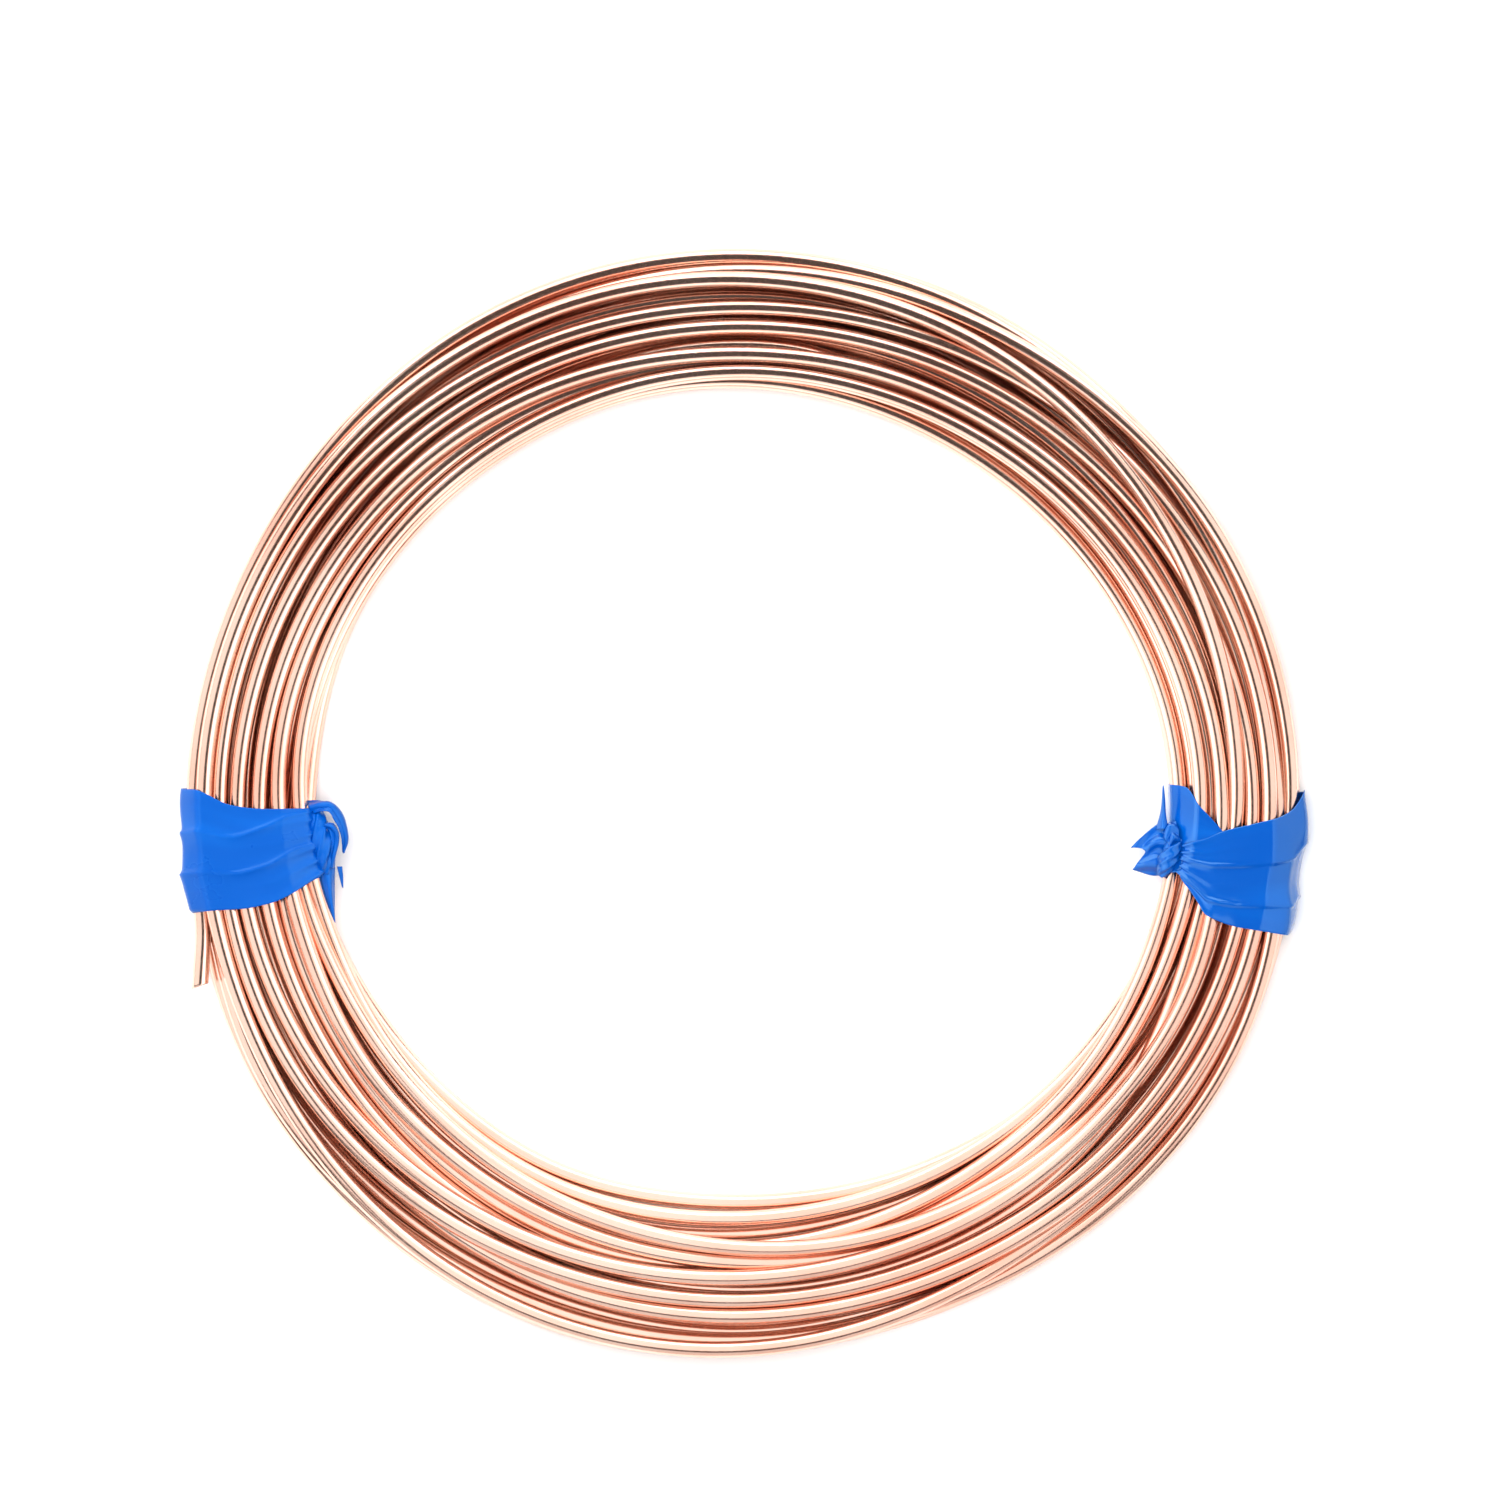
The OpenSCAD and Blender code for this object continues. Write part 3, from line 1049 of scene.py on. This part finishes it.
@dataclass(frozen=True)
class FilmTie:
    """A strip of film wound once round the coil and knotted over its inner wall.

    The strip's edges are stations of (share of the loop from the knot over the top,
    lower edge, upper edge), where the edges are millimetres round the coil from the
    tie's clock angle.
    """

    name: str
    angle: float
    edges: tuple[tuple[float, float, float], ...]
    creases: tuple[Crease, ...]
    loose: tuple[Patch | Twist, ...]
    nodes: tuple[str, ...]
    flat: tuple[float, float]
    knot_direction: float = 158.0
    slack: float = 0.5
    gather: float = 0.5
    gather_pleats: float = 5.0
    gather_reach: float = 0.075
    crease_end: float = 0.05
    crease_steepness: float = 3.5
    slack_spread: float = 30.0
    slack_sway: float = 0.35
    thickness: float = 0.12
    cut_span: float = 13.0
    cut_step: float = 0.5
    most_loops: float = 1.25
    outline_points: int = 900
    grazing: float = 0.08
    rows: int = 260
    columns: int = 64

    @property
    def stand_off(self) -> float:
        """How far the film's middle stays off what it lies on."""
        return self.thickness * 0.55

    def wrap_reach(
        self, wire: CoiledWire, offsets: np.ndarray, directions: np.ndarray
    ) -> tuple[np.ndarray, np.ndarray]:
        """Finds how far taut film stands from the middle of the coil's section.

        Args:
            wire: The settled wire.
            offsets: Angles round the coil from the tie, in degrees.
            directions: Directions in the section, in radians, 0 outwards.

        Returns:
            The section's middle (radius, height), and the reach for every offset and
            direction.
        """
        cuts = [wire.section(self.angle + offset) for offset in offsets]
        middle = np.array(
            [
                np.mean([(r.min() + r.max()) / 2 for r, _ in cuts]),
                np.mean([(z.min() + z.max()) / 2 for _, z in cuts]),
            ]
        )
        facing = np.linspace(0, 2 * math.pi, 360, endpoint=False)
        cosine = np.cos(directions[:, None] - facing[None])
        usable = cosine > self.grazing
        rows = []
        for r, z in cuts:
            support = (
                np.outer(np.cos(facing), r - middle[0]) + np.outer(np.sin(facing), z - middle[1])
            ).max(1) + wire.half
            distance = np.where(usable, support[None] / np.where(usable, cosine, 1), np.inf)
            rows.append(distance.min(1))
        reach = np.array(rows)
        taut = reach.copy()
        for _ in range(6):
            taut[1:-1] = 0.5 * taut[1:-1] + 0.25 * (taut[:-2] + taut[2:])
            taut = np.maximum(taut, reach)
        return middle, taut + self.stand_off

    def band(self, wire: CoiledWire) -> np.ndarray:
        """Makes the net of the strip where it goes round the coil.

        Args:
            wire: The settled wire.

        Returns:
            The net, in millimetres.
        """
        stations = np.array(self.edges, float)
        share = np.linspace(0, stations[-1, 0], self.rows)
        low = ease_through(stations[:, 0], stations[:, 1], share)
        high = ease_through(stations[:, 0], stations[:, 2], share)
        offsets = np.arange(-self.cut_span, self.cut_span + self.cut_step / 2, self.cut_step)
        compass = np.radians(np.arange(0, 360, 1.0))
        middle, reach = self.wrap_reach(wire, offsets, compass)
        mean = reach.mean(0)
        start = math.radians(self.knot_direction)
        back = start - np.linspace(0, 2 * math.pi * self.most_loops, self.outline_points)
        mean_back = np.interp(back % (2 * math.pi), compass, mean, period=2 * math.pi)
        outline = np.stack([mean_back * np.cos(back), mean_back * np.sin(back)], -1)
        run = np.append(0, np.linalg.norm(np.diff(outline, axis=0), axis=1).cumsum())
        once = np.interp(2 * math.pi, start - back, run)
        direction = np.interp(share * once, run, back)
        across = np.linspace(0, 1, self.columns)
        wide = low[:, None] + across[None] * (high - low)[:, None]
        typical = np.interp(direction % (2 * math.pi), compass, mean, period=2 * math.pi)
        radius = middle[0] + typical * np.cos(direction)
        turned = np.degrees(np.arcsin(np.clip(wide / radius[:, None], -0.9, 0.9)))
        column = np.clip((turned - offsets[0]) / self.cut_step, 0, len(offsets) - 1.001)
        left = column.astype(int)
        part = column - left
        angle_at = np.degrees(direction % (2 * math.pi))
        lower = angle_at.astype(int) % 360
        upper = (lower + 1) % 360
        slide = (angle_at - np.floor(angle_at))[:, None]
        near = reach[left, lower[:, None]] * (1 - slide) + reach[left, upper[:, None]] * slide
        far = (
            reach[left + 1, lower[:, None]] * (1 - slide)
            + reach[left + 1, upper[:, None]] * slide
        )
        distance = near * (1 - part) + far * part + self.relief(share, direction, across)
        r = middle[0] + distance * np.cos(direction)[:, None]
        z = middle[1] + distance * np.sin(direction)[:, None]
        clock = np.radians(self.angle + turned)
        z = np.maximum(z, self.stand_off)
        return np.stack([r * np.cos(clock), r * np.sin(clock), z], -1)

    def relief(self, share: np.ndarray, direction: np.ndarray, across: np.ndarray) -> np.ndarray:
        """Gives how far the film stands off the taut wrap: creases, pleats and slack.

        Args:
            share: The loop shares of the rows.
            direction: Their directions in the section, in radians.
            across: The columns' shares of the width.

        Returns:
            The relief for every row and column.
        """
        result = np.zeros((len(share), len(across)))
        for crease in self.creases:
            line = np.array(crease.line, float)
            centre = ease_through(line[:, 0], line[:, 1], share)[:, None]
            away = (across[None] - centre) / crease.width
            shown = np.clip((line[-1, 0] - share) / self.crease_end, 0, 1)[:, None]
            sharp = np.where(away > 0, np.exp(-away), np.exp(away * self.crease_steepness))
            result += crease.height * sharp * shown
        nearness = np.exp(-share / self.gather_reach)[:, None]
        fan = np.abs(np.sin(math.pi * (self.gather_pleats * across[None] + 0.3 * nearness)))
        result += self.gather * nearness * (1 - fan)
        outside = np.exp(-((np.degrees(direction) / self.slack_spread) ** 2))[:, None]
        sway = 1 + self.slack_sway * np.sin(2 * math.pi * (1.6 * across[None] + 0.1))
        result += self.slack * outside * sway
        overlap = np.clip((share - 0.9) / 0.1, 0, 1)[:, None]
        return result + 2 * self.thickness * (1 - overlap) * np.exp(-share / 0.05)[:, None]

    def build(self, wire: CoiledWire) -> bpy.types.Object:
        """Makes the tie as closed shells of film.

        Args:
            wire: The settled wire that it holds.

        Returns:
            The tie.
        """
        parts = MeshParts()
        film_shell(parts, self.band(wire), self.thickness)
        for piece in self.loose:
            film_shell(parts, piece.shape(), self.thickness)
        return parts.make(self.name)

    def dress(self, piece: bpy.types.Object, film: bpy.types.Material) -> None:
        """Gives the tie its finish, attaches it to the root body and hides the parts it stands in
        for.

        Args:
            piece: The tie.
            film: Its material.
        """
        piece.data.materials.append(film)
        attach(piece, "root")
        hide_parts(*self.nodes)


LEFT_TIE = FilmTie(
    name="left_tie",
    angle=185.0,
    edges=(
        (0, -4, 4.4), (0.08, -4.2, 5.9), (0.17, -4.5, 7.3), (0.26, -5.3, 7.7),
        (0.37, -7.6, 7.6), (0.5, -7.8, 7.7), (0.7, -6, 6), (0.88, -4.8, 4.6),
        (0.96, -4.2, 4.2),
    ),
    creases=(
        Crease(((0, 0.02), (0.08, 0.08), (0.17, 0.2), (0.26, 0.3), (0.5, 0.37)), 0.42, 0.06),
        Crease(((0, 0.5), (0.05, 0.5), (0.17, 0.6), (0.26, 0.65), (0.5, 0.69)), 0.42, 0.06),
    ),
    loose=(
        Patch(
            (
                ((-54, 0.3, 4.2), (-53.6, -0.5, 5.4), (-53, -1.3, 5.6)),
                ((-52.4, 0.45, 5), (-52.2, -0.3, 6.4), (-52, -1, 6.5)),
                ((-51, 0.2, 5.2), (-50.9, -0.4, 6.8), (-51, -1.1, 6.7)),
                ((-49.6, -1, 5), (-50, -1.5, 6.6), (-50.4, -2.1, 6.4)),
                ((-49, -2.7, 4.6), (-49.4, -2.9, 6.1), (-49.8, -3.1, 5.9)),
                ((-48.8, -4.7, 4), (-49.1, -4.6, 5.4), (-49.5, -4.4, 5.3)),
                ((-49.4, -6.3, 3.4), (-49.4, -6.2, 4.4), (-49.5, -6.1, 4.5)),
            ),
            pleats=1.5, depth=0.24, rows=60, columns=24,
        ),
        Patch(
            (
                ((-51.3, -2.4, 6.5), (-51.6, -2.6, 6.5), (-51.9, -3, 5.8)),
                ((-50.5, -2.5, 6.7), (-50.8, -2.9, 6.8), (-51.2, -3.4, 6.2)),
                ((-49.9, -3.4, 6.2), (-50.3, -3.8, 6.5), (-50.9, -4.2, 6)),
                ((-49.8, -4.6, 5.6), (-50.3, -4.9, 6), (-50.9, -5.2, 5.6)),
                ((-50.2, -6.4, 5), (-50.6, -6.6, 5.6), (-51.1, -6.8, 5.2)),
                ((-50.5, -8, 4.4), (-50.8, -8.1, 4.9), (-51.2, -8.2, 4.5)),
            ),
            pleats=1.2, depth=0.2, rows=48, columns=20,
        ),
        Twist(
            (
                (-53, -0.6, 4.6, 0.5), (-52.4, -2.2, 5.3, 0.95), (-52, -4.6, 5.5, 1.1),
                (-51.8, -7, 5.1, 0.95), (-51.6, -8.7, 4.4, 0.5),
            ),
        ),
        Patch(
            (
                ((-52.4, -8, 4.2), (-51.5, -8, 4.9), (-50.5, -8, 4.1)),
                ((-52, -10.8, 3.9), (-51.2, -10.7, 4.5), (-50.5, -10.4, 3.7)),
                ((-51.3, -13, 3.7), (-50.9, -12.9, 4), (-50.5, -12.7, 3.5)),
                ((-50.65, -14.8, 3.5), (-50.6, -14.9, 3.5), (-50.5, -14.9, 3.4)),
            ),
            pleats=1.5, depth=0.08,
        ),
        Patch(
            (
                ((-50.2, -7.9, 4), (-49.6, -7.9, 3.6)),
                ((-49.9, -9.3, 3.6), (-49.5, -9.3, 3.3)),
                ((-49.6, -10.5, 3.3), (-49.5, -10.6, 3.2)),
            ),
            rows=20, columns=8,
        ),
    ),
    knot_direction=170.0,
    nodes=("left_tie_band", "left_tie_knot", "left_tie_long_tail", "left_tie_short_tail"),
    flat=(15.5, 56.0),
)

RIGHT_TIE = FilmTie(
    name="right_tie",
    angle=-6.3,
    edges=(
        (0, -3.1, 1), (0.065, -6, 2), (0.1, -7.5, 2.9), (0.22, -8.6, 4.7), (0.33, -8.7, 6.7),
        (0.38, -8.2, 9.2), (0.5, -8.6, 8.8), (0.7, -6, 8.5), (0.88, -3, 8.2),
        (0.98, -2.6, 8), (1.05, 0.6, 5.4), (1.11, 2.4, 3),
    ),
    creases=(
        Crease(((0, 0.6), (0.1, 0.6), (0.22, 0.61), (0.5, 0.64)), 0.36, 0.06),
        Crease(((0, 0.15), (0.1, 0.18), (0.22, 0.22), (0.5, 0.26)), 0.42, 0.06),
    ),
    loose=(
        Patch(
            (
                (
                    (53, -2, 4.4), (53.5, -3.6, 5), (53.8, -5.2, 5.1), (53.7, -7.2, 4.7),
                    (53.3, -9, 4),
                ),
                (
                    (51, -3.4, 4.4), (51.7, -4.3, 4.9), (51.9, -5.6, 4.8), (51.6, -7.4, 4.7),
                    (51.2, -9.1, 4.1),
                ),
                (
                    (48.6, -5.6, 4.2), (49.5, -5.6, 4.5), (50.4, -6, 4.5), (49.6, -7.2, 4.4),
                    (48.8, -8.3, 4.2),
                ),
            ),
            pleats=2.5, depth=0.26, rows=40, columns=40,
        ),
        Patch(
            (
                ((52.4, -3.6, 5), (52.9, -4.6, 5.9), (53.4, -5.4, 5.6)),
                ((53.2, -2.4, 5.4), (53.6, -3.6, 6.3), (54, -4.8, 6)),
                ((54.2, -2.2, 5), (54.5, -3.6, 5.8), (54.7, -4.8, 5.6)),
            ),
            pleats=1.8, depth=0.24, rows=24, columns=30,
        ),
        Patch(
            (
                ((51.7, -3.3, 4.8), (52.5, -3.2, 5.7), (53.2, -3.2, 5.4)),
                ((52.25, -1.3, 5), (52.6, -1.3, 5.5), (52.9, -1.3, 5.3)),
                ((52.45, 0.4, 5.1), (52.6, 0.4, 5.4), (52.8, 0.4, 5.2)),
                ((52.55, 2.2, 5.2), (52.6, 2.2, 5.2), (52.65, 2.2, 5.2)),
            ),
            columns=12,
        ),
        Twist(
            (
                (54.5, -4.4, 5, 0.5), (53.7, -6, 5.6, 0.95), (52.9, -7.6, 5.4, 0.95),
                (52.3, -9, 4.6, 0.45),
            ),
        ),
    ),
    nodes=("right_tie_band", "right_tie_rear_fold", "right_tie_knot", "right_tie_fan_tail"),
    flat=(17, 56.0),
    slack=0.9,
)


# --------------------------------------------------------------------------- the studio


@dataclass(frozen=True)
class Panel:
    """A soft light panel: place and size in millimetres, what it aims at, its power."""

    name: str
    place: Point
    size: tuple[float, float]
    power: float
    target: Point = (0, 0, 0)
    lights_matt: bool = True
    mirrored: bool = True

    def build(self) -> bpy.types.Object:
        """Makes the light and aims it.

        Returns:
            The light.
        """
        data = bpy.data.lights.new(self.name, "AREA")
        data.shape = "RECTANGLE"
        data.size, data.size_y = (side * MM for side in self.size)
        data.energy = self.power
        lamp = bpy.data.objects.new(self.name, data)
        place = np.array(self.place, float)
        aim(lamp, place, np.array(self.target, float))
        lamp.visible_camera = False
        lamp.visible_diffuse = self.lights_matt
        lamp.visible_glossy = self.mirrored
        bpy.context.scene.collection.objects.link(lamp)
        return lamp


def aim(thing: bpy.types.Object, place: np.ndarray, target: np.ndarray) -> None:
    """Puts a light or camera in place, looking at a target with +Y upwards in view.

    Args:
        thing: What is placed.
        place: Where, in millimetres.
        target: What it looks at, in millimetres.
    """
    ahead = target - place
    ahead = ahead / np.linalg.norm(ahead)
    up = np.array([0.0, 1.0, 0.0]) if abs(ahead[2]) > 0.9 else np.array([0.0, 0.0, 1.0])
    right = np.cross(ahead, up)
    right /= np.linalg.norm(right)
    over = np.cross(right, ahead)
    matrix = np.eye(4)
    matrix[:3, 0], matrix[:3, 1], matrix[:3, 2] = right, over, -ahead
    matrix[:3, 3] = place * MM
    thing.matrix_world = Matrix(matrix.tolist())


@dataclass
class Studio:
    """The camera, the board, the light panels and the dim surroundings."""

    view_middle: Point = (1.2, 6.6, 5.0)
    view_width: float = 186.6
    camera_height: float = 1200.0
    sensor: float = 36.0
    board_side: float = 3000.0
    board_points: int = 9
    board_drop: float = 0.01
    flat_share: float = 0.8
    turn_up: float = 200.0
    dim: float = 0.08
    panels: tuple[Panel, ...] = (
        Panel("top_panel", (0, 0, 900), (1200, 1200), 16.2, mirrored=False),
        Panel("window_panel", (-520, 420, 470), (420, 420), 4.2, mirrored=False),
        Panel("near_panel", (0, -32, 50), (98, 104), 0.04, target=(0, -32, 0), lights_matt=False),
        Panel("far_panel", (0, 324, 148), (700, 261), 1.6, lights_matt=False),
        Panel("front_panel", (0, -269, 100), (520, 190), 0.25, lights_matt=False),
        Panel("left_panel", (-268, 0, 190), (420, 412), 0.62, lights_matt=False),
        Panel("right_panel", (268, 0, 190), (420, 412), 0.62, lights_matt=False),
    )

    def place_camera(self) -> bpy.types.Object:
        """Makes the camera, straight above and long in focus.

        Returns:
            The camera.
        """
        data = bpy.data.cameras.new("camera")
        data.sensor_width = self.sensor
        data.lens = self.sensor * (self.camera_height - self.view_middle[2]) / self.view_width
        data.clip_start, data.clip_end = 0.05, 10.0
        camera = bpy.data.objects.new("camera", data)
        middle = np.array(self.view_middle)
        camera.location = (middle[0] * MM, middle[1] * MM, self.camera_height * MM)
        camera.rotation_euler = (0, 0, 0)
        bpy.context.scene.collection.objects.link(camera)
        bpy.context.scene.camera = camera
        return camera

    def build_board(self) -> bpy.types.Object:
        """Makes the board, with a turned-up edge far from the coil.

        Returns:
            The board.
        """
        side = self.board_side / 2
        across = np.linspace(-side, side, self.board_points)
        x, y = np.meshgrid(across, across, indexing="ij")
        far = np.maximum(np.abs(x), np.abs(y)) / side
        z = -self.board_drop + self.turn_up * np.clip(far - self.flat_share, 0, 1) ** 2
        net = np.stack([x, y, z], -1)
        faces = quads(np.arange(x.size).reshape(x.shape))
        parts = MeshParts()
        parts.add(net.reshape(-1, 3), faces, np.zeros((len(faces), 4, 2)))
        board = parts.make("pale_board")
        board.data.materials.append(PaleBoard("pale_board").make())
        return board

    def build(self) -> None:
        """Builds the lights, the board and the surroundings."""
        for panel in self.panels:
            panel.build()
        self.build_board()
        scene = bpy.context.scene
        scene.view_settings.view_transform = "Standard"
        world = bpy.data.worlds.new("surroundings")
        world.use_nodes = True
        background = world.node_tree.nodes["Background"]
        background.inputs[0].default_value = (1, 1, 1, 1)
        background.inputs[1].default_value = self.dim
        scene.world = world
        LOG.info("studio: %d panels", len(self.panels))


def main() -> None:
    """Builds the coil and its studio."""
    logging.basicConfig(level=logging.INFO, format="%(name)s: %(message)s")
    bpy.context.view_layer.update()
    studio = Studio()
    studio.place_camera()
    wire = CoiledWire()
    wire.settle()
    streaks = streak_group()
    wire.dress(wire.build(), BareCopper("bare_copper").make(streaks))
    dull_side = VinylFilm("blue_vinyl_film_dull_side", gloss=0.3).make(streaks)
    glossy_side = VinylFilm("blue_vinyl_film_glossy_side").make(streaks)
    LEFT_TIE.dress(LEFT_TIE.build(wire), dull_side)
    RIGHT_TIE.dress(RIGHT_TIE.build(wire), glossy_side)
    studio.build()


if __name__ == "__main__":
    main()
